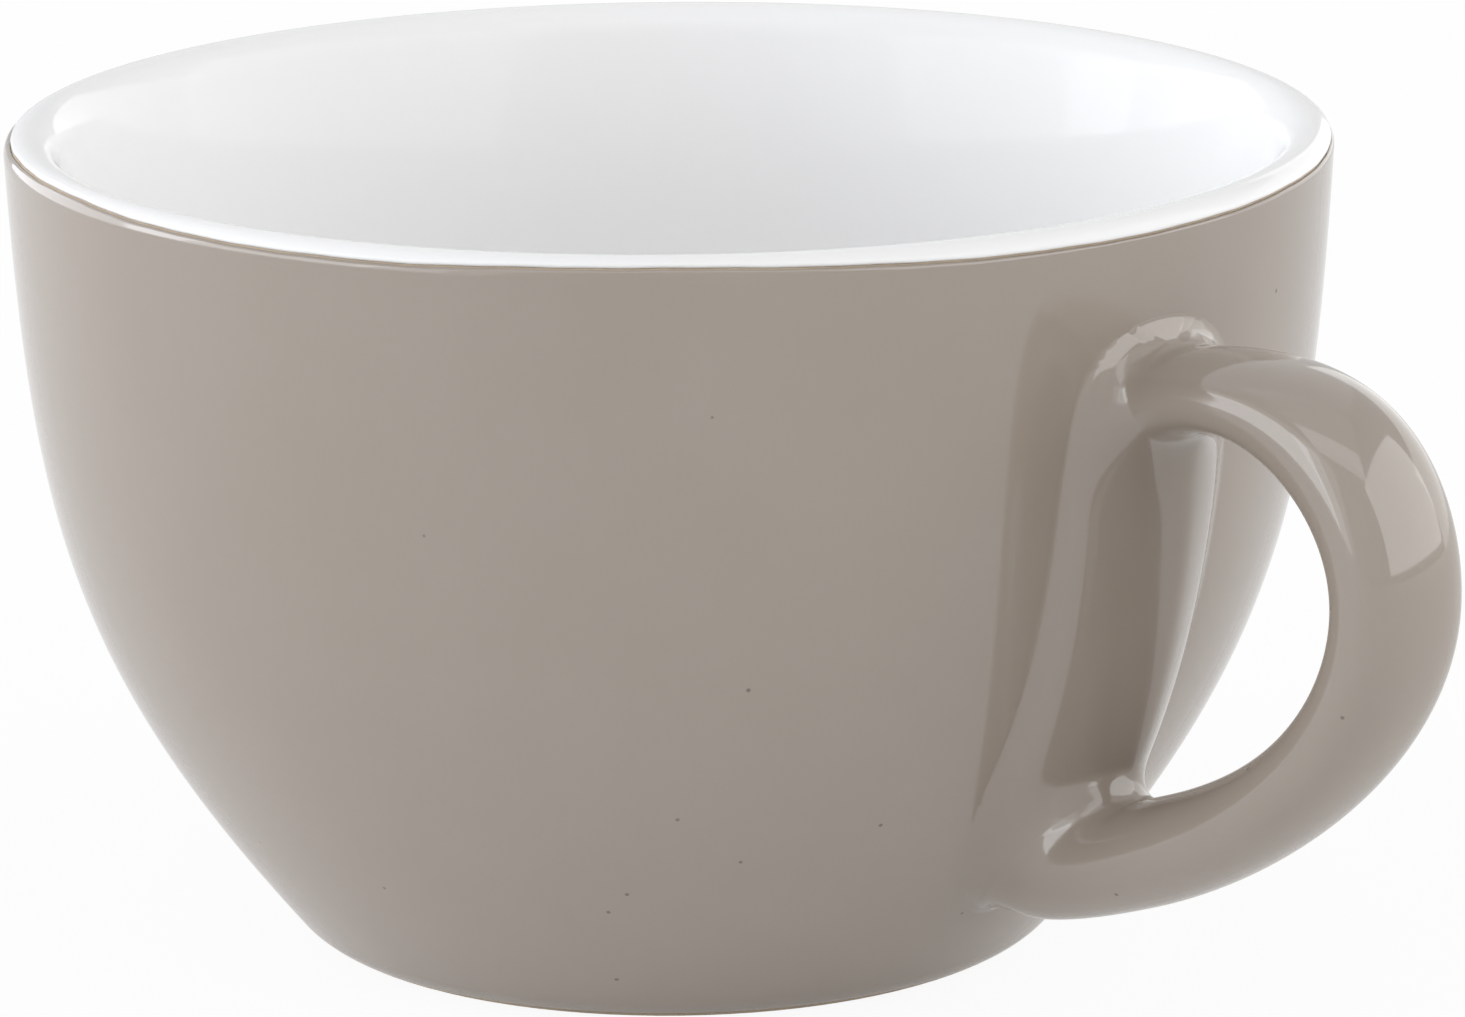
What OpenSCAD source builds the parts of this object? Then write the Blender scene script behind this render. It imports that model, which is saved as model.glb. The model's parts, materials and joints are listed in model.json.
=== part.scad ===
// A cappuccino cup: a wide round bowl of fired clay with a closed D-shaped handle.
// The handle is cast with its own back strap and is bedded on the wall in a thin layer of slip.
// White glaze lines the inside and the lip, and coloured glaze covers the outside.
// The origin is the centre of the foot ring, on the table. The handle points along +X.

/* [Bowl] */
// Outside diameter of the cup at the rim
rim_d = 100; // [86:1:116]
// Height from the table to the top of the lip
cup_h = 62.6; // [58:0.2:74]
// Outside diameter of the circle that the foot ring stands on
foot_d = 49.2; // [42:0.2:56]
// Width of the foot ring where it stands
foot_ring_w = 2.6; // [1.6:0.1:4]
// Depth of the recess inside the foot ring
recess_h = 1.8; // [1.2:0.1:3]
// Width of the soft corner between the foot circle and the wall
corner_run = 4.9; // [3.5:0.1:6.5]
// Height of that soft corner
corner_rise = 2.2; // [1.6:0.1:3.5]
// Thickness of the wall at the lip
lip_w = 3.8; // [3:0.1:4.6]
// Height of the rounding on the outside of the lip
lip_round = 1.6; // [1.4:0.1:2]
// Thickness of the wall below the part that thins towards the lip
low_wall_w = 5.8; // [4.8:0.1:6.4]
// Thickness of the floor at its centre
floor_w = 4.8; // [3.6:0.1:6.5]

/* [Glaze] */
// Thickness of every coat of glaze, and of the slip bed that fills the outer coat's window
glaze_t = 0.3; // [0.2:0.05:0.4]
// Depth of the line between white and coloured glaze below the top of the lip
line_drop = 0.9; // [0.7:0.05:1.1]
// Width of the bare line between the two glazes
line_w = 0.3; // [0.1:0.05:0.4]
// Height of the bare clay at the foot ring
bare_h = 0.8; // [0.5:0.1:1]

/* [Handle] */
// Reach of the handle beyond the rim
handle_reach = 25.2; // [20:0.1:32]
// Widest point of the loop, as a share of the way up from the lower arm to the upper arm
bow_share = 0.63; // [0.5:0.01:0.68]
// Thickness of the loop at its widest point, seen from the side
bow_t = 7.2; // [5:0.1:8]
// Depth of the top of the upper arm below the lip, where it leaves the wall
arm_drop = 9.4; // [8.5:0.1:12]
// Thickness of the upper arm where it leaves the wall
arm_top_t = 6; // [5:0.1:8]
// Height of the underside of the lower arm, under the lower end of the finger gap
arm_low_z = 11.2; // [9.5:0.1:13]
// Thickness of the lower arm there
arm_low_t = 7.8; // [5.5:0.1:8.5]
// Width of the handle across the upper arm
handle_top_w = 11.2; // [9:0.1:14]
// Width of the handle across the lower arm
handle_low_w = 11; // [9:0.1:14]
// Height of the strap's face above the wall at its upper end
strap_proud = 2.8; // [1.8:0.1:4]
// Height of the strap's face above the wall at its lower end
strap_low_proud = 3.8; // [1.8:0.1:4.5]
// Distance of the strap's upper end below the top of the upper arm
strap_drop = 10.4; // [9:0.1:13]
// Height of the strap's lower end
strap_z = 19.8; // [18:0.2:22]
// Radius of the hollow fillet where the handle runs into the wall
root_fillet = 3; // [1:0.1:4]

/* [Hidden] */

clay = "#efe9dc";
white = "#fbfbf9";
grey = "#9d958b";
slip_colour = "#e6dccb";
$fn = 96;

// Steps along the curves of the outline and of the handle
corner_steps = 8;
wall_steps = 26;
lip_steps = 5;
floor_steps = 12;
strap_rings = 8;
top_corner_rings = 12;
bow_rings = 14;
low_corner_rings = 16;
side_steps = 14;
inner_steps = 20;

rim_r = rim_d / 2;
foot_r = foot_d / 2;

// Points on a cubic curve, and directions along it
function bez(c, t) = pow(1 - t, 3) * c[0] + 3 * t * pow(1 - t, 2) * c[1]
    + 3 * t * t * (1 - t) * c[2] + pow(t, 3) * c[3];
function unit_of(v) = norm(v) > 0 ? v / norm(v) : v;
function slope(c, t) = unit_of(pow(1 - t, 2) * (c[1] - c[0])
    + 2 * t * (1 - t) * (c[2] - c[1]) + t * t * (c[3] - c[2]));
function left_of(v) = [-v[1], v[0]];
function curve(c, n, from = 0, to = 1) = [for (i = [0 : n]) bez(c, from + (to - from) * i / n)];
function at_height(c, z, lo = 0, hi = 1, tries = 30) = tries == 0 ? (lo + hi) / 2
    : bez(c, (lo + hi) / 2)[1] < z ? at_height(c, z, (lo + hi) / 2, hi, tries - 1)
    : at_height(c, z, lo, (lo + hi) / 2, tries - 1);
function mix(a, b, share) = a + (b - a) * share;
function corner_between(a, b, shares) = [mix(a[0], b[0], shares[0]), mix(a[1], b[1], shares[1])];
function tail(path) = [for (i = [1 : len(path) - 1]) path[i]];
function backwards(path) = [for (i = [len(path) - 1 : -1 : 0]) path[i]];

// A path moved into the clay, which lies on its left
function inset(path, depth) = [for (i = [0 : len(path) - 1])
    path[i] + depth * left_of(unit_of(path[min(i + 1, len(path) - 1)] - path[max(i - 1, 0)]))];

// The cup's outline, seen as a section in r and z: the outside of the wall
wall_in_shares = [0.820, 0.347];
wall_out_shares = [0.932, 0.541];
corner_flat_share = 0.41;
corner_pull_share = 0.065;
wall_start = [foot_r + corner_run, corner_rise];
wall_end = [rim_r, cup_h - lip_round];
wall_curve = [wall_start,
              corner_between(wall_start, wall_end, wall_in_shares),
              corner_between(wall_start, wall_end, wall_out_shares),
              wall_end];
foot_curve = [[foot_r, 0],
              [foot_r + corner_run * corner_flat_share, 0],
              wall_start - corner_pull_share * (wall_curve[1] - wall_curve[0]),
              wall_start];

// The lip, rounded from the outside over its top and down the inside
lip_soft_share = 0.56;
lip_top = [rim_r - lip_round, cup_h];
lip_in_h = lip_w - lip_round;
inner_from_share = 0.99;
lip_out_curve = [wall_end,
                 wall_end + lip_round * lip_soft_share * slope(wall_curve, 1),
                 lip_top + [lip_round * lip_soft_share, 0],
                 lip_top];

// The inside of the wall follows the outside. The top share of the wall thins towards the lip.
inner_to_share = 0.2;
thin_share = 0.25;
function wall_w(t) = mix(low_wall_w, lip_w, pow(max(0, 1 - (1 - t) / thin_share), 3));
function inner_point(t) = bez(wall_curve, t) + wall_w(t) * left_of(slope(wall_curve, t));
inner_wall = [for (i = [0 : inner_steps])
    inner_point(mix(inner_from_share, inner_to_share, i / inner_steps))];
inner_start_slope = unit_of(inner_wall[1] - inner_wall[0]);
inner_end_slope = unit_of(inner_wall[inner_steps] - inner_wall[inner_steps - 1]);
lip_in_curve = [lip_top,
                lip_top - [lip_in_h * lip_soft_share, 0],
                inner_wall[0] - lip_in_h * lip_soft_share * inner_start_slope,
                inner_wall[0]];

// The floor runs out of the wall in one curve and is level at the centre
floor_z = recess_h + floor_w;
floor_flat_share = 0.53;
floor_pull_share = 0.35;
floor_from = inner_wall[inner_steps];
floor_curve = [floor_from,
               floor_from + floor_pull_share * floor_from[0] * inner_end_slope,
               [floor_from[0] * floor_flat_share, floor_z],
               [0, floor_z]];

// Under the floor: a level recess with a soft corner down to the foot ring
ring_r = foot_r - foot_ring_w;
recess_curve = [[ring_r - recess_h, recess_h], [ring_r - recess_h / 2, recess_h],
                [ring_r, recess_h / 2], [ring_r, 0]];

// Where each coat ends
grey_foot_t = at_height(foot_curve, bare_h);
grey_top_t = at_height(lip_out_curve, cup_h - line_drop - line_w / 2);
white_low_t = at_height(lip_out_curve, cup_h - line_drop + line_w / 2);
base_end_t = 1 - at_height(backwards(recess_curve), bare_h);

grey_path = concat(curve(foot_curve, corner_steps, grey_foot_t, 1),
                   tail(curve(wall_curve, wall_steps)),
                   tail(curve(lip_out_curve, lip_steps, 0, grey_top_t)));
white_path = concat(curve(lip_out_curve, lip_steps, white_low_t, 1),
                    tail(curve(lip_in_curve, lip_steps)),
                    tail(inner_wall),
                    tail(curve(floor_curve, floor_steps)));
base_path = concat([[0, recess_h]], curve(recess_curve, lip_steps, 0, base_end_t));

// A path that ends or starts on the axis keeps that end on the axis when it is moved
function on_axis(path) = [for (p = path) [max(p[0], 0), p[1]]];
white_inset = inset(white_path, glaze_t);
white_under = concat([for (i = [0 : len(white_inset) - 2]) white_inset[i]],
                     [[0, floor_z - glaze_t]]);
grey_under = inset(grey_path, glaze_t);
base_under = concat([[0, recess_h + glaze_t]], tail(inset(base_path, glaze_t)));

module turned(section) {
    rotate([0, 0, 180])
        rotate_extrude()
            polygon(on_axis(section));
}

// The whole cup's outside as one solid, which the handle is cut to fit
module cup_envelope() {
    turned(concat([[0, 0]], curve(foot_curve, corner_steps, 0, grey_foot_t), tail(grey_path),
                  [lip_top, [0, cup_h]]));
}

module grey_coat() {
    turned(concat(grey_path, backwards(grey_under)));
}

// The handle in its own plane. Places up the wall are found on the wall's own curve.
function wall_place(z, out) = let (t = at_height(wall_curve, z))
    bez(wall_curve, t) - out * left_of(slope(wall_curve, t));
function wall_along(z) = slope(wall_curve, at_height(wall_curve, z));
function wall_gap(p) = let (t = at_height(wall_curve, max(p[1], corner_rise)))
    (p - bez(wall_curve, t)) * -left_of(slope(wall_curve, t));

// Places of the two outlines of the loop: the finger gap's side and the outside
arm_out = 3.8;
gap_low_out = 6.1;
seat_depth = 3.2;
arm_top_z = cup_h - arm_drop;
strap_top_z = arm_top_z - strap_drop;
bow_z = mix(arm_low_z, arm_top_z, bow_share);
arm_rise_shares = [0.976, 0.215];
bow_in = [rim_r + handle_reach - bow_t, bow_z];
bow_out = [rim_r + handle_reach, bow_z];
arm_out_point = [wall_place(arm_top_z, 0)[0] + arm_out, arm_top_z];
arm_in_point = [arm_out_point[0] + arm_top_t * arm_rise_shares[1],
                arm_top_z - arm_top_t * arm_rise_shares[0]];
low_fall_shares = [0.945, 0.328];
low_out_point = [wall_place(arm_low_z, 0)[0] + arm_low_t + gap_low_out, arm_low_z];
low_in_point = low_out_point + arm_low_t * [-low_fall_shares[1], low_fall_shares[0]];

// Upper and lower half of the bow, each as an inner and an outer curve
upper_in_shares = [0.44, -0.16];
upper_out_shares = [0.83, -0.166];
bow_upper_in_share = 0.586;
bow_upper_out_share = 0.471;
upper_in_curve = [arm_in_point, corner_between(arm_in_point, bow_in, upper_in_shares),
                  corner_between(bow_in, arm_in_point, [0, bow_upper_in_share]), bow_in];
upper_out_curve = [arm_out_point, corner_between(arm_out_point, bow_out, upper_out_shares),
                   corner_between(bow_out, arm_out_point, [0, bow_upper_out_share]), bow_out];
lower_in_shares = [0.734, 0.255];
lower_out_shares = [0.465, 0.162];
bow_lower_in_share = 0.334;
bow_lower_out_share = 0.431;
lower_in_curve = [bow_in, corner_between(bow_in, low_in_point, [0, bow_lower_in_share]),
                  corner_between(low_in_point, bow_in, lower_in_shares), low_in_point];
lower_out_curve = [bow_out, corner_between(bow_out, low_out_point, [0, bow_lower_out_share]),
                   corner_between(low_out_point, bow_out, lower_out_shares), low_out_point];

// The two corners, where the loop turns into the strap along the wall
strap_top = wall_place(strap_top_z, strap_proud);
strap_low = wall_place(strap_z, strap_low_proud);
back_top = wall_place(strap_top_z, -seat_depth);
back_low = wall_place(strap_z, -seat_depth);
top_turn_share = 0.58;
top_leg = norm(arm_in_point - strap_top) * top_turn_share;
top_in_curve = [strap_top, strap_top + top_leg * wall_along(strap_top_z),
                arm_in_point - top_leg * slope(upper_in_curve, 0), arm_in_point];
back_rise_share = 0.79;
back_run_share = 0.95;
top_out_curve = [back_top,
                 [back_top[0], mix(back_top[1], arm_top_z, back_rise_share)],
                 arm_out_point - back_run_share * (arm_out_point[0] - back_top[0])
                     * slope(upper_out_curve, 0),
                 arm_out_point];
low_turn_share = 0.5;
low_leg = norm(low_in_point - strap_low) * low_turn_share;
low_in_turn = [low_in_point, low_in_point + low_leg * slope(lower_in_curve, 1),
               strap_low - low_leg * wall_along(strap_z), strap_low];
under_run = 18.4;
back_run = 15.2;
low_out_turn = [low_out_point, low_out_point + under_run * slope(lower_out_curve, 1),
                back_low - back_run * wall_along(strap_z), back_low];

// Pairs of places, one on each outline, once round the loop
function pairs(a, b, n) = [for (i = [0 : n - 1]) [bez(a, i / n), bez(b, i / n)]];
loop = concat(
    [for (i = [0 : strap_rings - 1]) let (
        z = mix(strap_z, strap_top_z, i / strap_rings),
        proud = mix(strap_low_proud, strap_proud, i / strap_rings))
        [wall_place(z, proud), wall_place(z, -seat_depth)]],
    pairs(top_in_curve, top_out_curve, top_corner_rings),
    pairs(upper_in_curve, upper_out_curve, bow_rings),
    pairs(lower_in_curve, lower_out_curve, bow_rings),
    pairs(low_in_turn, low_out_turn, low_corner_rings));

// The loop's cross section, a full oval: places as [depth from the gap's side, distance from the middle]
oval_share = 0.92;
function oval(v) = sign(v) * pow(abs(v), oval_share);
function section(depth, half_w) = [for (i = [0 : 2 * side_steps - 1]) let (a = 180 * i / side_steps)
    [depth / 2 * (1 - oval(cos(a))), half_w * oval(sin(a))]];

// How far the skin swells outwards to run into the wall, at a height above the wall.
// It keeps its slope for a little way under the wall's face, so that the cut there is even.
sunk_share = 0.23;
function swell(gap) = let (rise = min(gap / root_fillet, 1))
    root_fillet * (rise > 0 ? pow(1 - rise, 3) : 1 + 3 * min(-rise, sunk_share));
function half_width_at(z) = mix(handle_low_w, handle_top_w,
                                min(1, max(0, (z - arm_low_z) / (arm_top_z - arm_low_z)))) / 2;
function ring_at(pair) = let (
    a = pair[0], b = pair[1], depth = norm(b - a), out = (b - a) / depth,
    half_w = half_width_at((a[1] + b[1]) / 2), middle = depth / 2)
    [for (s = section(depth, half_w)) let (
        p = a + s[0] * out, push = swell(wall_gap(p)),
        way = unit_of([max(s[0] - middle, 0) / middle, s[1] / half_w]),
        q = p + push * way[0] * out)
        [q[0], s[1] + push * way[1], q[1]]];

module loop_solid() {
    rings = [for (pair = loop) ring_at(pair)];
    count = len(rings);
    sides = len(rings[0]);
    places = [for (r = rings) for (p = r) p];
    function spot(i, j) = (i % count) * sides + j % sides;
    faces = [for (i = [0 : count - 1]) for (j = [0 : sides - 1]) for (k = [0, 1])
        k == 0 ? [spot(i, j), spot(i, j + 1), spot(i + 1, j)]
               : [spot(i, j + 1), spot(i + 1, j + 1), spot(i + 1, j)]];
    polyhedron(places, faces);
}

// Outline of the handle's bed on the wall, a slot with round ends run out along +X
bed_inset = 1.5;
bed_w = handle_low_w - 2 * bed_inset;
bed_low_z = arm_low_z + bed_w / 2;
bed_top_z = arm_top_z - bed_inset - bed_w / 2;
module bed_prism() {
    rotate([90, 0, 90])
        linear_extrude(rim_r + handle_reach)
            union() {
                translate([0, bed_low_z])
                    circle(d = bed_w);
                translate([0, bed_top_z])
                    circle(d = bed_w);
                translate([-bed_w / 2, bed_low_z])
                    square([bed_w, bed_top_z - bed_low_z]);
            }
}

module bowl() {
    color(clay)
        turned(concat(curve(foot_curve, corner_steps, 0, grey_foot_t), grey_under, white_under,
                      base_under, curve(recess_curve, lip_steps, base_end_t, 1)));
}

module inner_glaze() {
    color(white)
        turned(concat(white_path, backwards(white_under)));
}

module outer_glaze() {
    color(grey)
        difference() {
            grey_coat();
            bed_prism();
        }
}

module base_glaze() {
    color(grey)
        turned(concat(base_path, backwards(base_under)));
}

module handle() {
    color(grey)
        difference() {
            loop_solid();
            cup_envelope();
        }
}

module handle_slip() {
    color(slip_colour)
        intersection() {
            grey_coat();
            bed_prism();
        }
}

bowl();
inner_glaze();
outer_glaze();
base_glaze();
handle();
handle_slip();
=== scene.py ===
"""A cappuccino cup: white glazed inside, warm grey glazed outside, with a closed loop handle.

The coats of glaze and the handle's skin are finer copies of the part's own curves, so the
curves' sizes are repeated here, in millimetres. Meshes are made in metres.
"""
import json

import bpy
import numpy as np
from mathutils import Matrix

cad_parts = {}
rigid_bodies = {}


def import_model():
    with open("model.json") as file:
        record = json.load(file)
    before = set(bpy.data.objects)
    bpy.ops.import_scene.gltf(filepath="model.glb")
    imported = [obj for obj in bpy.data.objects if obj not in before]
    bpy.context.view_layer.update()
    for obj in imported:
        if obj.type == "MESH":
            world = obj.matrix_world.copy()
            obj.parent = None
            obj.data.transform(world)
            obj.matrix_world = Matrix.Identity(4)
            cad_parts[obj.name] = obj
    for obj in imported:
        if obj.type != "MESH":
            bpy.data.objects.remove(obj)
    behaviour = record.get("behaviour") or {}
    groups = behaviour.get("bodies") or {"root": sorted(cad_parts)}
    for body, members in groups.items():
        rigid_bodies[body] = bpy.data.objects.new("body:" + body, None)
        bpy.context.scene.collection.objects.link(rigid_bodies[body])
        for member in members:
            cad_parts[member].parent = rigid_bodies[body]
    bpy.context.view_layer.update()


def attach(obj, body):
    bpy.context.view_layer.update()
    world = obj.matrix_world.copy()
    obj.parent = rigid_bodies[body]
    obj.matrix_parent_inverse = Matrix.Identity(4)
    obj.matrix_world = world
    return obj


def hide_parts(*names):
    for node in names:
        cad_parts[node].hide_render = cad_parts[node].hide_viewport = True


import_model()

MM = 0.001

# Sizes of the cup. The bends are shares of the way between a curve's ends, across and up
RIM_R = 50.0
CUP_H = 62.6
FOOT_R = 24.6
CORNER = (4.9, 2.2)
CORNER_REACH = 0.41
CORNER_TANGENT = 0.065
WALL_BENDS = ((0.820, 0.347), (0.932, 0.541))
WALL_LENGTH = 75.0
WALL_SHARES = (-0.05, 1.03)
LIP_W = 3.8
LIP_ROUND = 1.6
LIP_SOFT = 0.56
LOW_WALL_W = 5.8
THIN_SHARE = 0.25
INNER_SHARES = (0.99, 0.2)
FLOOR_Z = 6.6
FLOOR_TURN = 0.35
FLOOR_FLAT = 0.53

# The coats of glaze: their ends thin out over a length of the face, first end and last
COAT = 0.3
COAT_LOSS = 0.85
GREY_ENDS = (0.35, 0.3)
WHITE_ENDS = (0.3, 0)
BARE_H = 0.8
LINE_GAP = 0.16

# Where the grey coat ends under the lip: heights read round the cup, in degrees and millimetres
LINE_AT = [(-180, 61.75), (-150, 61.9), (-117, 62.2), (-103, 62.12), (-93, 61.78), (-80, 61.74),
           (-68, 61.7), (-58, 61.94), (-45, 62.0), (-34, 61.84), (-27, 61.62), (-12, 61.28),
           (4, 61.2), (20, 61.45), (50, 61.7), (80, 61.9), (110, 61.8), (145, 61.66), (180, 61.75)]
# Small waves on that line: height, count round the cup, start
LINE_WAVES = ((0.035, 7, 1), (0.02, 23, 0), (0.012, 61, 0))

# Sizes of the handle, a loop between two outlines in its own plane
REACH = 25.2
BOW_T = 7.2
BOW_SHARE = 0.63
ARM_TOP_Z = 53.2
ARM_TOP_T = 6.0
ARM_TOP_LEAN = (0.215, -0.976)
ARM_OUT = 3.8
ARM_LOW_Z = 11.2
ARM_LOW_T = 7.8
ARM_LOW_LEAN = (-0.328, 0.945)
GAP_LOW_OUT = 6.1
TOP_W = 11.2
LOW_W = 11.0
OVAL = 0.92
UP_IN = ((0.44, -0.16), (0, 0.586))
UP_OUT = ((0.83, -0.166), (0, 0.471))
DOWN_IN = ((0, 0.334), (0.734, 0.255))
DOWN_OUT = ((0, 0.431), (0.465, 0.162))

# The strap along the wall and the turns that join it to the arms
STRAP_Z = (19.8, 42.8)
STRAP_PROUD = (3.8, 2.8)
FACE_LOW_Z = 22.5
FACE_TOP_Z = 39.0
SEAT = 3.2
STRAP_W = 12.6
STRAP_OVAL = 0.8
STRAP_CREST = 0.62
CREST_AT = 0.22
CREST_SOFT = 0.14
TOP_TURN_IN = 0.47
TOP_TURN_OUT = (0.79, 0.95)
LOW_TURN_IN = 0.46
LOW_TURN_OUT = (18.4, 15.2)

# The hollow round that joins the handle to the wall
FILLET = 3.0
SUNK = 0.25
BURIED_SHARE = 0.2
NEAR_WALL = 0.25
NEAR_FADE = 0.2

# Fineness: points along each curve, and tries of each search
TURN_STEPS = 512
FOOT_STEPS = 14
WALL_STEPS = 90
INNER_STEPS = 60
FLOOR_STEPS = 60
LIP_STEPS = 20
END_STEPS = 14
END_CROWDING = 1.6
CURVE_STEPS = 400
RING_GAP = 0.45
SIDES = 128
WALL_TRIES = 4
ROUGH_TRIES = 12
FINE_TRIES = 30
WALL_TABLE = 1600
LIP_TABLE = 400
FOOT_TABLE = 200
LINE_TABLE = 721
# Each blur is its width and how far it reaches, in steps
LINE_BLUR = (9, 30)
RING_BLUR = (2.8, 9)
STRAP_BLUR = (8, 26)


def bez(c, t):
    """Points of a cubic curve at the shares t."""
    c = np.asarray(c, float)
    t = np.atleast_1d(t)[:, None]
    return ((1 - t) ** 3 * c[0] + 3 * (1 - t) ** 2 * t * c[1]
            + 3 * (1 - t) * t * t * c[2] + t ** 3 * c[3])


def slope(c, t):
    """Unit directions of a cubic curve at the shares t."""
    c = np.asarray(c, float)
    t = np.atleast_1d(t)[:, None]
    v = ((1 - t) ** 2 * (c[1] - c[0]) + 2 * t * (1 - t) * (c[2] - c[1])
         + t * t * (c[3] - c[2]))
    return unit(v)


def unit(v):
    return v / np.maximum(np.linalg.norm(v, axis=-1, keepdims=True), 1e-12)


def left_of(v):
    return np.stack([-v[..., 1], v[..., 0]], -1)


def between(a, b, shares):
    """A point on the way from a to b, by one share across and one up."""
    return np.array([a[0] + (b[0] - a[0]) * shares[0], a[1] + (b[1] - a[1]) * shares[1]])


def smooth_step(x):
    x = np.clip(x, 0, 1)
    return x * x * (3 - 2 * x)


def blurred(values, width, far):
    """Values round a closed loop, eased over a width given in steps."""
    reach = np.exp(-0.5 * (np.arange(-far, far + 1) / width) ** 2)
    return np.convolve(np.r_[values[-far:], values, values[:far]], reach / reach.sum(), "valid")


# The cup's outline in r and z
wall_start = np.array([FOOT_R + CORNER[0], CORNER[1]])
wall_end = np.array([RIM_R, CUP_H - LIP_ROUND])
wall_curve = np.array([wall_start, *(between(wall_start, wall_end, bend) for bend in WALL_BENDS),
                       wall_end])
foot_curve = np.array([[FOOT_R, 0], [FOOT_R + CORNER[0] * CORNER_REACH, 0],
                       wall_start - CORNER_TANGENT * (wall_curve[1] - wall_curve[0]), wall_start])
lip_top = np.array([RIM_R - LIP_ROUND, CUP_H])
lip_in_h = LIP_W - LIP_ROUND
lip_out = np.array([wall_end, wall_end + LIP_ROUND * LIP_SOFT * slope(wall_curve, 1)[0],
                    lip_top + [LIP_ROUND * LIP_SOFT, 0], lip_top])


def inner_wall(t):
    """The inside of the wall, at the share t up the outside; it thins towards the lip."""
    thin = np.maximum(0, 1 - (1 - np.atleast_1d(t)[:, None]) / THIN_SHARE)
    w = LOW_WALL_W + (LIP_W - LOW_WALL_W) * thin ** 3
    return bez(wall_curve, t) + w * left_of(slope(wall_curve, t))


inner_points = inner_wall(np.linspace(*INNER_SHARES, INNER_STEPS))
inner_from = unit(inner_points[1] - inner_points[0])
inner_to = unit(inner_points[-1] - inner_points[-2])
lip_in = np.array([lip_top, lip_top - [lip_in_h * LIP_SOFT, 0],
                   inner_points[0] - lip_in_h * LIP_SOFT * inner_from, inner_points[0]])
floor_from = inner_points[-1]
floor_curve = np.array([floor_from, floor_from + FLOOR_TURN * floor_from[0] * inner_to,
                        [floor_from[0] * FLOOR_FLAT, FLOOR_Z], [0, FLOOR_Z]])

# Tables that turn a height into the share up the wall, or up the lip's outside
wall_shares = np.linspace(*WALL_SHARES, WALL_TABLE)
wall_heights = bez(wall_curve, wall_shares)[:, 1]
lip_shares = np.linspace(0, 1, LIP_TABLE)
lip_heights = bez(lip_out, lip_shares)[:, 1]


def wall_share(z):
    return np.interp(z, wall_heights, wall_shares)


def wall_place(z, out):
    """The point of the wall at a height, moved outwards, in the handle's plane."""
    t = wall_share(z)
    return (bez(wall_curve, t) - out * left_of(slope(wall_curve, t)))[0]


def wall_along(z):
    return slope(wall_curve, wall_share(z))[0]


def wall_gap(p):
    """Height over the wall, and the wall's own outward direction there, for points in space."""
    r = np.hypot(p[:, 0], p[:, 1])
    q = np.stack([r, p[:, 2]], -1)
    t = wall_share(np.maximum(p[:, 2], CORNER[1]))
    for _ in range(WALL_TRIES):
        d = slope(wall_curve, t)
        step = ((q - bez(wall_curve, t)) * d).sum(1)
        t = np.clip(t + step / WALL_LENGTH, *WALL_SHARES)
    out = -left_of(slope(wall_curve, t))
    gap = ((q - bez(wall_curve, t)) * out).sum(1)
    turn = p[:, :2] / np.maximum(r, 1e-9)[:, None]
    return gap, np.c_[out[:, :1] * turn, out[:, 1:]]


def make_mesh(name, points, faces, normals):
    """A smooth object from points in millimetres, with its own normals."""
    mesh = bpy.data.meshes.new(name)
    mesh.from_pydata((np.asarray(points) * MM).tolist(), [], faces)
    mesh.update()
    mesh.polygons.foreach_set("use_smooth", [True] * len(mesh.polygons))
    mesh.normals_split_custom_set_from_vertices(np.asarray(normals).tolist())
    ob = bpy.data.objects.new(name, mesh)
    bpy.context.scene.collection.objects.link(ob)
    return ob


def grid_faces(rows, cols, close_rows=False):
    """Quads of a grid whose columns go round; the rows may go round too."""
    i = np.arange(rows if close_rows else rows - 1)[:, None]
    j = np.arange(cols)[None]
    i2, j2 = (i + 1) % rows, (j + 1) % cols
    quads = np.stack([i * cols + j, i * cols + j2, i2 * cols + j2, i2 * cols + j], -1)
    return quads.reshape(-1, 4).tolist()


def line_height(angle):
    """Height of the glaze line at an angle round the cup, in radians."""
    at = np.degrees((angle + np.pi) % (2 * np.pi) - np.pi)
    xs, zs = np.array(LINE_AT).T
    dense = np.linspace(-180, 180, LINE_TABLE)
    z = blurred(np.interp(dense, xs, zs)[:-1], *LINE_BLUR)
    z = np.interp(at, dense, np.r_[z, z[0]])
    for height, count, start in LINE_WAVES:
        z = z + height * np.sin(count * angle + start)
    return z


def edge_taper(path, first, last):
    """Depth below the face at each point: the coat thins in a soft round at its ends."""
    length = np.r_[0, np.cumsum(np.linalg.norm(np.diff(path, axis=0), axis=1))]
    depth = np.zeros(len(path))
    for on, far in ((first, length), (last, length[-1] - length)):
        if on:
            x = np.clip(far / on, 0, 1)
            depth = np.maximum(depth, COAT * COAT_LOSS * (1 - np.sqrt(1 - (1 - x) ** 2)))
    return depth


def inward(path):
    return left_of(unit(np.gradient(path, axis=0)))


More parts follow.
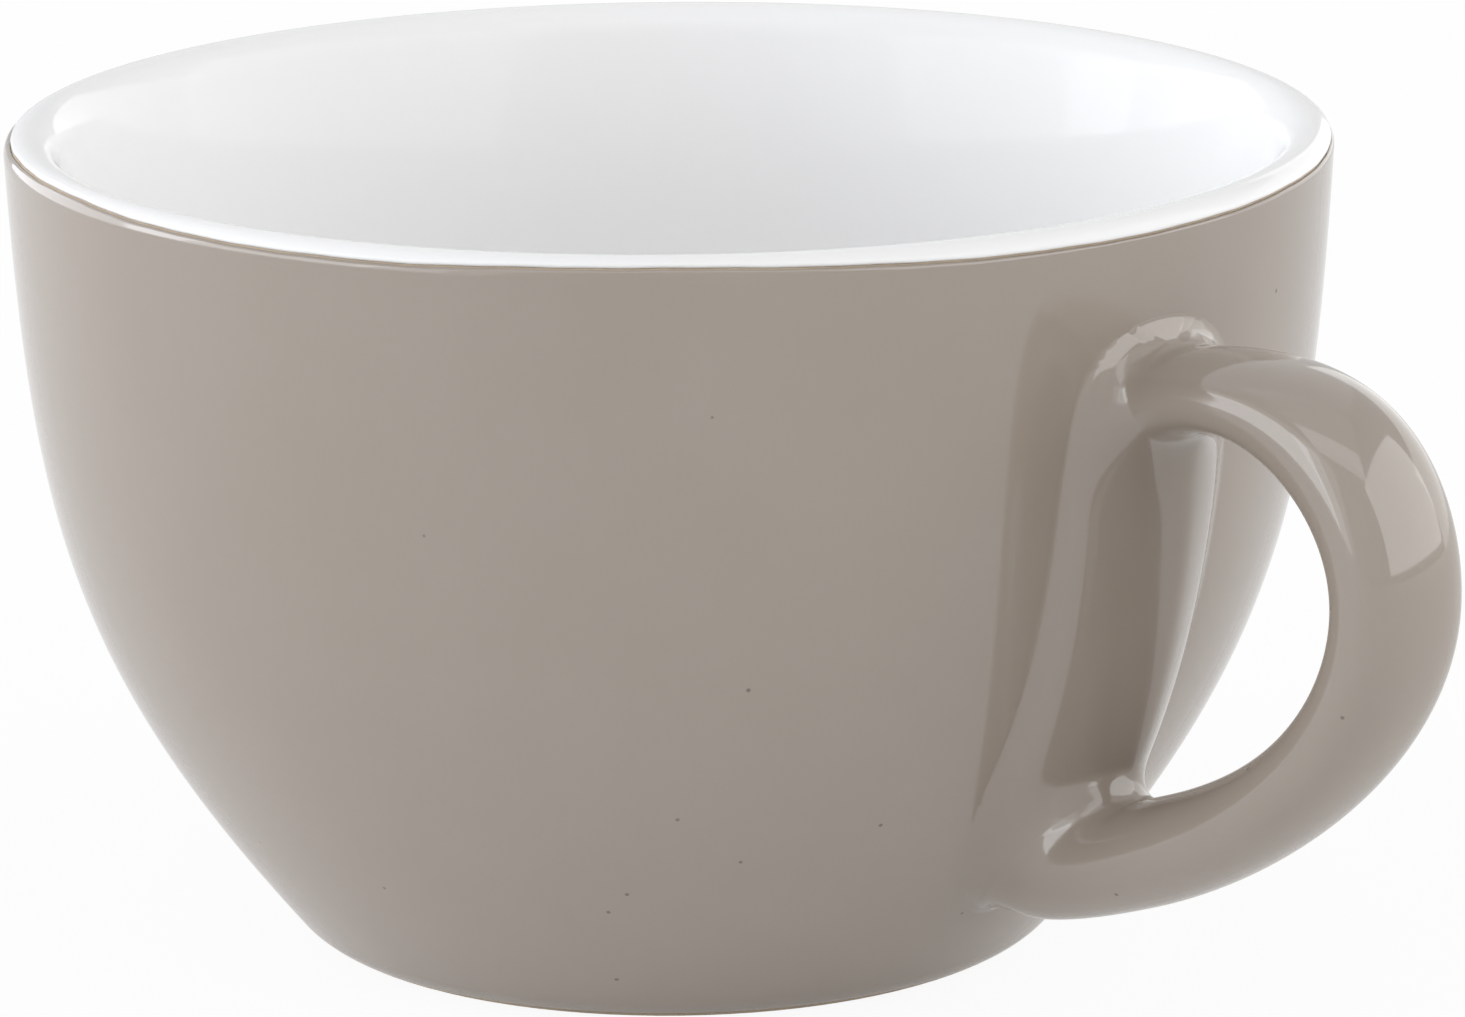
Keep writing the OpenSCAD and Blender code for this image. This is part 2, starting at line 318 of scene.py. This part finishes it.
def turned_coat(name, path_at, ends, closed_at_axis):
    """A coat of glaze: its face, its soft ends and its underside, as one closed skin."""
    columns, normals = [], []
    for angle in 2 * np.pi * np.arange(TURN_STEPS) / TURN_STEPS:
        path = path_at(angle)
        side = inward(path)
        face = path + edge_taper(path, *ends)[:, None] * side
        under = path + COAT * side
        if closed_at_axis:
            face[-1, 0] = under[-1, 0] = 0
        ring = np.r_[face, under[::-1]]
        out = inward(face) * -1
        out = np.r_[out, -out[::-1]]
        c, s = np.cos(angle), np.sin(angle)
        columns.append(np.c_[ring[:, 0] * c, ring[:, 0] * s, ring[:, 1]])
        normals.append(np.c_[out[:, 0] * c, out[:, 0] * s, out[:, 1]])
    points = np.array(columns).transpose(1, 0, 2)
    out = np.array(normals).transpose(1, 0, 2)
    rows = len(points)
    if not closed_at_axis:
        faces = grid_faces(rows, TURN_STEPS, close_rows=True)
        return make_mesh(name, points.reshape(-1, 3), faces, out.reshape(-1, 3))
    # On the axis the face and the underside each end in one point with a fan round it
    half = rows // 2
    top, low = points[:half - 1], points[half + 1:]
    flat = np.r_[top.reshape(-1, 3), [points[half - 1, 0]], [points[half, 0]], low.reshape(-1, 3)]
    flat_out = np.r_[out[:half - 1].reshape(-1, 3), [[0, 0, 1]], [[0, 0, -1]],
                     out[half + 1:].reshape(-1, 3)]
    centre = (half - 1) * TURN_STEPS
    above, below, last = centre - TURN_STEPS, centre + 2, len(flat) - TURN_STEPS
    j = np.arange(TURN_STEPS)
    j2 = (j + 1) % TURN_STEPS
    faces = grid_faces(half - 1, TURN_STEPS)
    faces += [[a + below for a in f] for f in grid_faces(half - 1, TURN_STEPS)]
    faces += np.stack([above + j, above + j2, j * 0 + centre], -1).tolist()
    faces += np.stack([j * 0 + centre + 1, below + j2, below + j], -1).tolist()
    faces += np.stack([last + j, last + j2, j2, j], -1).tolist()
    return make_mesh(name, flat, faces, flat_out)


# The two coats' faces, apart from the part near the glaze line, which differs round the cup
foot_shares = np.linspace(0, 1, FOOT_TABLE)
foot_start = np.interp(BARE_H, bez(foot_curve, foot_shares)[:, 1], foot_shares)
wall_low = np.r_[bez(foot_curve, np.linspace(foot_start, 1, FOOT_STEPS))[:-1],
                 bez(wall_curve, np.linspace(0, 1, WALL_STEPS))]
liner_low = np.r_[bez(lip_in, np.linspace(0, 1, LIP_STEPS))[1:], inner_points[1:],
                  bez(floor_curve, np.linspace(0, 1, FLOOR_STEPS))[1:]]
# Steps that grow finer towards the line
fine_end = 1 - np.linspace(1, 0, END_STEPS) ** END_CROWDING


def grey_path(angle):
    end = np.interp(line_height(angle) - LINE_GAP / 2, lip_heights, lip_shares)
    return np.r_[wall_low, bez(lip_out, end * fine_end)[1:]]


def white_path(angle):
    start = np.interp(line_height(angle) + LINE_GAP / 2, lip_heights, lip_shares)
    return np.r_[bez(lip_out, start + (1 - start) * (1 - fine_end[::-1])), liner_low]


def strap_face(z):
    """The face of the strap along the wall, in the handle's plane."""
    return wall_place(z, np.interp(z, STRAP_Z, STRAP_PROUD))


def bent(a, b, bends):
    """A curve from a to b, whose bends are shares of the way, each from its own end."""
    return [a, between(a, b, bends[0]), between(b, a, bends[1]), b]


def turned(a, way_a, b, way_b, share):
    """A curve that leaves a and reaches b in given directions."""
    leg = np.linalg.norm(b - a) * share
    return [a, a + leg * way_a, b - leg * way_b, b]


def loop_pairs():
    """The handle's two outlines, the finger gap's side and the outside, point for point."""
    bow_z = ARM_LOW_Z + (ARM_TOP_Z - ARM_LOW_Z) * BOW_SHARE
    bow_in = np.array([RIM_R + REACH - BOW_T, bow_z])
    bow_out = np.array([RIM_R + REACH, bow_z])
    arm_out = np.array([wall_place(ARM_TOP_Z, 0)[0] + ARM_OUT, ARM_TOP_Z])
    arm_in = arm_out + ARM_TOP_T * np.array(ARM_TOP_LEAN)
    low_out = np.array([wall_place(ARM_LOW_Z, 0)[0] + ARM_LOW_T + GAP_LOW_OUT, ARM_LOW_Z])
    low_in = low_out + ARM_LOW_T * np.array(ARM_LOW_LEAN)
    up_in, up_out = bent(arm_in, bow_in, UP_IN), bent(arm_out, bow_out, UP_OUT)
    down_in, down_out = bent(bow_in, low_in, DOWN_IN), bent(bow_out, low_out, DOWN_OUT)

    face_low, face_top = strap_face(FACE_LOW_Z), strap_face(FACE_TOP_Z)
    back_low, back_top = (wall_place(z, -SEAT) for z in STRAP_Z)
    top_in = turned(face_top, wall_along(FACE_TOP_Z), arm_in, slope(up_in, 0)[0], TOP_TURN_IN)
    rise, along = TOP_TURN_OUT
    top_out = [back_top, [back_top[0], back_top[1] + (ARM_TOP_Z - back_top[1]) * rise],
               arm_out - along * (arm_out[0] - back_top[0]) * slope(up_out, 0)[0], arm_out]
    low_turn_in = turned(low_in, slope(down_in, 1)[0], face_low, wall_along(FACE_LOW_Z),
                         LOW_TURN_IN)
    low_turn_out = [low_out, low_out + LOW_TURN_OUT[0] * slope(down_out, 1)[0],
                    back_low - LOW_TURN_OUT[1] * wall_along(STRAP_Z[0]), back_low]

    t = np.arange(CURVE_STEPS) / CURVE_STEPS
    face = [strap_face(FACE_LOW_Z + (FACE_TOP_Z - FACE_LOW_Z) * share) for share in t]
    back = [wall_place(STRAP_Z[0] + (STRAP_Z[1] - STRAP_Z[0]) * share, -SEAT) for share in t]
    a = np.r_[face, bez(top_in, t), bez(up_in, t), bez(down_in, t), bez(low_turn_in, t)]
    b = np.r_[back, bez(top_out, t), bez(up_out, t), bez(down_out, t), bez(low_turn_out, t)]
    return a, b


def even_rings(a, b):
    """The pairs again, RING_GAP apart on the outline that is longer there, eased at the joins."""
    step_a, step_b = (np.linalg.norm(np.diff(np.r_[c, c[:1]], axis=0), axis=1) for c in (a, b))
    length = np.r_[0, np.cumsum(np.maximum(step_a, step_b))]
    count = int(length[-1] / RING_GAP)
    at = length[-1] * np.arange(count) / count
    both = np.c_[a, b]
    both = np.stack([np.interp(at, length, np.r_[both[:, k], both[:1, k]]) for k in range(4)], -1)
    both = np.stack([blurred(both[:, k], *RING_BLUR) for k in range(4)], -1)
    return both[:, :2], both[:, 2:]


def fillet_push(gap):
    """How far the skin swells along the wall at a height over it: a quarter round."""
    g = np.clip(gap, 0, FILLET)
    return FILLET - np.sqrt(np.maximum(FILLET ** 2 - (FILLET - g) ** 2, 0))


def signed_power(x, power):
    return np.sign(x) * np.abs(x) ** power


def handle_skin():
    """Points in millimetres, faces and normals of the handle's closed skin."""
    a, b = even_rings(*loop_pairs())
    level = np.zeros(len(a))
    depth = np.linalg.norm(b - a, axis=1)
    out = (b - a) / depth[:, None]
    out3 = np.stack([out[:, 0], level, out[:, 1]], -1)[:, None]
    z = (a[:, 1] + b[:, 1]) / 2
    rise = np.clip((z - ARM_LOW_Z) / (ARM_TOP_Z - ARM_LOW_Z), 0, 1)
    half_w = (LOW_W + (TOP_W - LOW_W) * rise) / 2
    # The section is an oval round the loop, and wider with a low crest down the strap
    sunk, _ = wall_gap(np.stack([b[:, 0], level, b[:, 1]], -1))
    strap = blurred(smooth_step(-2 * sunk / SEAT - 1), *STRAP_BLUR)
    half_w += (STRAP_W / 2 - half_w) * strap
    power = (OVAL + (STRAP_OVAL - OVAL) * strap)[:, None]
    crest = (STRAP_CREST * strap)[:, None]

    def skin_at(turn, tries):
        """Points of every ring at the angles round it, swollen where they near the wall."""
        oval_x = (1 - signed_power(np.cos(turn), power)) / 2
        oval_y = signed_power(np.sin(turn), power)
        fall = crest * (np.sqrt((oval_y - CREST_AT) ** 2 + CREST_SOFT ** 2) - CREST_SOFT)
        oval_x += fall * np.maximum(0.5 - oval_x, 0)
        flat = a[:, None] + (depth[:, None] * oval_x)[..., None] * out[:, None]
        bare = np.stack([flat[..., 0], half_w[:, None] * oval_y, flat[..., 1]], -1)
        way = unit(np.stack([np.maximum(2 * oval_x - 1, 0), oval_y], -1))
        way = way[..., :1] * out3 + way[..., 1:] * np.array([0, 1, 0])
        low, high = np.zeros(turn.shape), np.full(turn.shape, FILLET)
        for _ in range(tries):
            mid = (low + high) / 2
            gap, _ = wall_gap((bare + mid[..., None] * way).reshape(-1, 3))
            more = fillet_push(gap.reshape(turn.shape)) > mid
            low, high = np.where(more, mid, low), np.where(more, high, mid)
        return bare + ((low + high) / 2)[..., None] * way, way

    # A first skin tells how long each ring is; the points are then spread evenly along it,
    # with fewer where it lies buried in the wall
    coarse = 2 * np.pi * np.arange(SIDES + 1) / SIDES
    points, _ = skin_at(np.tile(coarse, (len(a), 1)), ROUGH_TRIES)
    gap = wall_gap(points.reshape(-1, 3))[0].reshape(len(a), -1)
    step = np.linalg.norm(np.diff(points, axis=1), axis=-1)
    in_sight = smooth_step((gap[:, 1:] + gap[:, :-1]) / 2 / SUNK + 1)
    step *= BURIED_SHARE + (1 - BURIED_SHARE) * in_sight
    length = np.c_[np.zeros(len(a)), np.cumsum(step, axis=1)]
    shares = np.arange(SIDES) / SIDES
    turn = np.array([np.interp(shares * run[-1], run, coarse) for run in length])
    points, way = skin_at(turn, FINE_TRIES)

    along = np.roll(points, -1, 0) - np.roll(points, 1, 0)
    across = np.roll(points, -1, 1) - np.roll(points, 1, 1)
    normal = unit(np.cross(along, across))
    if (normal[:, 0] * out3[:, 0]).sum(-1).mean() > 0:
        normal = -normal
    # Close to the wall the normal is that of the quarter round itself
    flat = points.reshape(-1, 3)
    gap, wall_out = wall_gap(flat)
    side = way.reshape(-1, 3)
    side = unit(side - (side * wall_out).sum(-1, keepdims=True) * wall_out)
    lean = 1 - np.clip(gap, 0, FILLET)[:, None] / FILLET
    round_normal = lean * wall_out + np.sqrt(1 - lean ** 2) * side
    near = smooth_step((NEAR_WALL - gap) / NEAR_FADE)[:, None]
    normals = unit(normal.reshape(-1, 3) * (1 - near) + round_normal * near)
    # What is buried lies flat, SUNK below the wall
    flat = flat - np.minimum(gap + SUNK, 0)[:, None] * wall_out
    return flat, grid_faces(len(a), SIDES, close_rows=True), normals


# Looks of the glazes and the clay: sizes in millimetres, ranges as from low, high, to low, high
BUMP_H = 0.05
CLOUD_SIZE = 14
CLOUD_RANGE = (0.35, 0.65, 0.0, 1.0)
GRAIN_SIZE = 0.55
GRAIN_RANGE = (0.3, 0.7, 0.0, 0.35)
GLOSS = 0.07
GLOSS_RANGE = (0.3, 0.7, GLOSS * 0.85, GLOSS * 1.2)
PEEL_SIZE = 3.2
PEEL_BUMP = 0.05
SPECK_CELL = 4
SPECK_SPAN = (0.03, 0.05)
SPECK_PICK = (0.61, 0.63)
SPECK_SHARE = 0.6
CLAY_CLOUD = 6
CLAY_GRAIN = 0.25
CLAY_RANGE = (0.35, 0.65, 0.0, 0.5)
CLAY_ROUGH = (0.3, 0.7, 0.6, 0.8)
CLAY_BUMP = 0.3


def node_tree(name):
    mat = bpy.data.materials.new(name)
    mat.use_nodes = True
    tree = mat.node_tree
    return mat, tree, tree.nodes["Principled BSDF"]


def add_node(tree, kind, **values):
    """A new node, with values for its sockets, or for its settings where no socket is so named."""
    node = tree.nodes.new(kind)
    for key, value in values.items():
        if key in node.inputs:
            node.inputs[key].default_value = value
        else:
            setattr(node, key, value)
    return node


def add_texture(tree, kind, size, **values):
    """A texture in the object's own space; size is that of its grains, in millimetres."""
    where = tree.nodes.new("ShaderNodeTexCoord")
    made = add_node(tree, kind, Scale=1 / (size * MM), **values)
    tree.links.new(where.outputs["Object"], made.inputs["Vector"])
    return made


def noise(tree, size, detail, rough=0.55):
    return add_texture(tree, "ShaderNodeTexNoise", size, Detail=detail, Roughness=rough)


def spread(tree, source, low, high, to_low, to_high):
    """A value taken from one range to another."""
    made = add_node(tree, "ShaderNodeMapRange")
    ranges = {"From Min": low, "From Max": high, "To Min": to_low, "To Max": to_high}
    for key, value in ranges.items():
        made.inputs[key].default_value = value
    tree.links.new(source, made.inputs["Value"])
    return made.outputs["Result"]


def mixed(tree, factor, first, second):
    """Two colours mixed, each a tuple or a socket; 6, 7 and 2 are the node's colour sockets."""
    made = add_node(tree, "ShaderNodeMix", data_type="RGBA")
    tree.links.new(factor, made.inputs["Factor"])
    for key, value in ((6, first), (7, second)):
        if isinstance(value, tuple):
            made.inputs[key].default_value = (*value, 1)
        else:
            tree.links.new(value, made.inputs[key])
    return made.outputs[2]


def math_node(tree, operation, first, second):
    """Two values joined by an operation; the second may be a plain number."""
    made = add_node(tree, "ShaderNodeMath", operation=operation)
    tree.links.new(first, made.inputs[0])
    if isinstance(second, (int, float)):
        made.inputs[1].default_value = second
    else:
        tree.links.new(second, made.inputs[1])
    return made.outputs[0]


def mottled(tree, cloud, grain, grain_range, colour, deep):
    """A colour that drifts to a deeper one in clouds, and a little in grains."""
    tone = mixed(tree, spread(tree, cloud.outputs["Fac"], *CLOUD_RANGE), colour, deep)
    return mixed(tree, spread(tree, grain.outputs["Fac"], *grain_range), tone, deep)


def add_bump(tree, shader, height, strength):
    """A faint relief, BUMP_H high, from a noise."""
    bump = add_node(tree, "ShaderNodeBump", Strength=strength, Distance=BUMP_H * MM)
    tree.links.new(height.outputs["Fac"], bump.inputs["Height"])
    tree.links.new(bump.outputs["Normal"], shader.inputs["Normal"])


def speck_mask(tree):
    """A speck sits in one cell out of many, and only where the surface cuts through its middle."""
    dots = add_texture(tree, "ShaderNodeTexVoronoi", SPECK_CELL)
    near = spread(tree, dots.outputs["Distance"], *SPECK_SPAN, SPECK_SHARE, 0.0)
    chosen = spread(tree, dots.outputs["Color"], *SPECK_PICK, 0.0, 1.0)
    return math_node(tree, "MULTIPLY", near, chosen)


def glaze(name, colour, deep, index, specked=False):
    """Fired glaze: mottled colour, specks where asked, a slightly uneven gloss and skin."""
    mat, tree, shader = node_tree(name)
    cloud = noise(tree, CLOUD_SIZE, detail=4)
    grain = noise(tree, GRAIN_SIZE, detail=3, rough=0.7)
    base = mottled(tree, cloud, grain, GRAIN_RANGE, colour, deep)
    if specked:
        base = mixed(tree, speck_mask(tree), base, SPECK)
    tree.links.new(base, shader.inputs["Base Color"])
    tree.links.new(spread(tree, cloud.outputs["Fac"], *GLOSS_RANGE), shader.inputs["Roughness"])
    shader.inputs["IOR"].default_value = index
    add_bump(tree, shader, noise(tree, PEEL_SIZE, detail=1.5), PEEL_BUMP)
    return mat


def bare_clay(name, colour, deep):
    """Fired clay without glaze: fine grain, matt."""
    mat, tree, shader = node_tree(name)
    cloud = noise(tree, CLAY_CLOUD, detail=4)
    grain = noise(tree, CLAY_GRAIN, detail=4, rough=0.7)
    base = mottled(tree, cloud, grain, CLAY_RANGE, colour, deep)
    tree.links.new(base, shader.inputs["Base Color"])
    tree.links.new(spread(tree, grain.outputs["Fac"], *CLAY_ROUGH), shader.inputs["Roughness"])
    add_bump(tree, shader, grain, CLAY_BUMP)
    return mat


# The grey glaze's index is high, and the white one's low, to match their mirror images' strength
GREY = (0.319, 0.273, 0.23)
GREY_DEEP = (0.308, 0.262, 0.219)
GREY_INDEX = 1.74
SPECK = (0.05, 0.04, 0.035)
WHITE = (0.88, 0.879, 0.877)
WHITE_DEEP = (0.873, 0.872, 0.869)
WHITE_INDEX = 1.26
BASE_INDEX = 1.5
CLAY = (0.60, 0.49, 0.36)
CLAY_DEEP = (0.50, 0.40, 0.29)
SLIP = (0.62, 0.54, 0.43)
SLIP_DEEP = (0.54, 0.46, 0.36)
grey_glaze = glaze("grey_glaze", GREY, GREY_DEEP, GREY_INDEX, specked=True)
handle_glaze = glaze("handle_glaze", GREY, GREY_DEEP, GREY_INDEX, specked=True)
white_glaze = glaze("white_glaze", WHITE, WHITE_DEEP, WHITE_INDEX)
base_glaze = glaze("base_glaze", GREY, GREY_DEEP, BASE_INDEX)
clay = bare_clay("fired_clay", CLAY, CLAY_DEEP)
slip = bare_clay("slip", SLIP, SLIP_DEEP)


def wear(ob, material):
    ob.data.materials.clear()
    ob.data.materials.append(material)


outer_coat = turned_coat("outer_coat", grey_path, GREY_ENDS, closed_at_axis=False)
inner_coat = turned_coat("inner_coat", white_path, WHITE_ENDS, closed_at_axis=True)
skin = make_mesh("handle_skin", *handle_skin())

for piece, material, slot, nodes in (
        (outer_coat, grey_glaze, "grey_glaze", ("outer_glaze", "handle_slip")),
        (inner_coat, white_glaze, "white_glaze", ("inner_glaze",)),
        (skin, handle_glaze, "handle_glaze", ("handle",))):
    wear(piece, material)
    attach(piece, "root")
    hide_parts(*nodes)

# The nodes carried over from the CAD wear their looks too
for node, material in (("bowl", clay), ("base_glaze", base_glaze), ("handle_slip", slip)):
    for ob in bpy.data.objects:
        if ob.type == "MESH" and ob.name.split(".")[0] == node:
            wear(ob, material)


def placed(ob, x, y, z, at):
    """Sets an object's axes and place, and brings it into the scene."""
    rows = np.eye(4)
    rows[:3, 0], rows[:3, 1], rows[:3, 2], rows[:3, 3] = x, y, z, at
    ob.matrix_world = Matrix(rows.tolist())
    bpy.context.scene.collection.objects.link(ob)


# Camera: fitted to the photograph; the cup's handle points along +X
CAMERA = (424.26, -424.26, 182.2)
PITCH = 0.2448
YAW = -np.pi / 4 + 0.0076
ROLL = -0.0076
PHOTO_W = 1465
FOCAL_PIXELS = 8111.7
SENSOR = 36
FAR_CLIP = 20
ahead_level = np.array([np.sin(YAW), np.cos(YAW), 0.0])
ahead = np.cos(PITCH) * ahead_level - np.sin(PITCH) * np.array([0, 0, 1.0])
right = np.array([np.cos(YAW), -np.sin(YAW), 0.0])
up = np.cross(right, ahead)
lens = bpy.data.cameras.new("camera")
lens.sensor_width = SENSOR
lens.lens = FOCAL_PIXELS / PHOTO_W * SENSOR
lens.clip_end = FAR_CLIP
camera = bpy.data.objects.new("camera", lens)
placed(camera, right * np.cos(ROLL) + up * np.sin(ROLL), up * np.cos(ROLL) - right * np.sin(ROLL),
       -ahead, np.array(CAMERA) * MM)
bpy.context.scene.camera = camera


def white_where_seen(tree, direct, mirrored, plain, white, output):
    """Mixes white into a plain surface: one share of it for camera and glass rays, one for
    mirror rays, and none for the rays that light the cup."""
    path = tree.nodes.new("ShaderNodeLightPath")
    seen = math_node(tree, "MULTIPLY", path.outputs["Is Camera Ray"], direct)
    for ray, share in (("Is Transmission Ray", direct), ("Is Glossy Ray", mirrored)):
        part = math_node(tree, "MULTIPLY", path.outputs[ray], share)
        seen = math_node(tree, "MAXIMUM", seen, part)
    both = tree.nodes.new("ShaderNodeMixShader")
    for socket, source in enumerate((seen, plain.outputs[0], white.outputs[0])):
        tree.links.new(source, both.inputs[socket])
    tree.links.new(both.outputs[0], tree.nodes[output].inputs["Surface"])


# Floor: a wide plain sheet, pale, which keeps the cup's soft shadow
FLOOR_W = 6
FLOOR_PALE = 0.9
FLOOR_ROUGH = 0.9
FLOOR_SEEN = (0.93, 0.35)
bpy.ops.mesh.primitive_grid_add(x_subdivisions=8, y_subdivisions=8, size=FLOOR_W)
floor = bpy.context.object
floor.name = "floor"
floor_mat, tree, shader = node_tree("floor")
shader.inputs["Base Color"].default_value = (FLOOR_PALE, FLOOR_PALE, FLOOR_PALE, 1)
shader.inputs["Roughness"].default_value = FLOOR_ROUGH
white = add_node(tree, "ShaderNodeEmission", Strength=1.0)
white_where_seen(tree, *FLOOR_SEEN, shader, white, "Material Output")
floor.data.materials.append(floor_mat)

# World: a dim room that lights the cup, and shows pale in the glaze's mirror
ROOM_LIGHT = 0.31
ROOM_WHITE = 0.8
ROOM_SEEN = (1, 1)
world = bpy.data.worlds.new("room")
bpy.context.scene.world = world
world.use_nodes = True
tree = world.node_tree
room = tree.nodes["Background"]
room.inputs["Color"].default_value = (1, 1, 1, 1)
room.inputs["Strength"].default_value = ROOM_LIGHT
white = add_node(tree, "ShaderNodeBackground", Strength=1.0)
white.inputs["Color"].default_value = (ROOM_WHITE, ROOM_WHITE, ROOM_WHITE, 1)
white_where_seen(tree, *ROOM_SEEN, room, white, "World Output")

# Colours of the lamps: plain white, and a little cooler from the left
PLAIN = (1, 1, 1)
COOL = (0.96, 0.99, 1.05)
AIM_Z = 0.03


def softbox(name, angle, height, distance, width, tall, strength, colour=PLAIN):
    """A flat lamp that looks at the cup from an angle round it, in degrees, and a height."""
    light = bpy.data.lights.new(name, "AREA")
    light.shape = "RECTANGLE"
    light.size = width
    light.size_y = tall
    light.color = colour
    light.energy = strength * width * tall * np.pi
    ob = bpy.data.objects.new(name, light)
    ob.visible_camera = False
    a, e = np.radians(angle), np.radians(height)
    way = np.array([np.cos(a) * np.cos(e), np.sin(a) * np.cos(e), np.sin(e)])
    side = np.array([-np.sin(a), np.cos(a), 0])
    placed(ob, side, np.cross(way, side), way, way * distance + np.array([0, 0, AIM_Z]))


# Angle and height in degrees; distance, width and height of the lamp in metres; strength.
# A dim lamp is a dark card: it takes the place of the white room in the glaze's mirror
for lamp in (("left_box", -122, 18, 1.2, 1.22, 0.84, 1.86, COOL),
             ("left_wing", -90, 18, 1.2, 0.33, 0.84, 0.8, COOL),
             ("left_frame", -112, 20, 1.26, 1.95, 1.25, 0.45),
             ("right_box", 27, 26, 1.2, 1.81, 1.07, 1.55),
             ("right_frame", 27, 27, 1.26, 2.5, 1.55, 0.05),
             ("camera_side", -50, 24, 1.3, 1.6, 1.4, 0.1),
             ("back_left", -165, 12, 1.2, 1.5, 0.8, 1.9, COOL),
             ("back_right", 92, 11, 1.2, 1.3, 0.7, 0.9),
             ("back_high", 150, 48, 1.3, 1.8, 1.4, 0.15),
             ("top_box", -45, 80, 1.4, 1.4, 1.4, 0.2),
             ("top_front", -45, 58, 1.4, 1.3, 0.5, 0.9)):
    softbox(*lamp)

bpy.context.scene.view_settings.view_transform = "Standard"
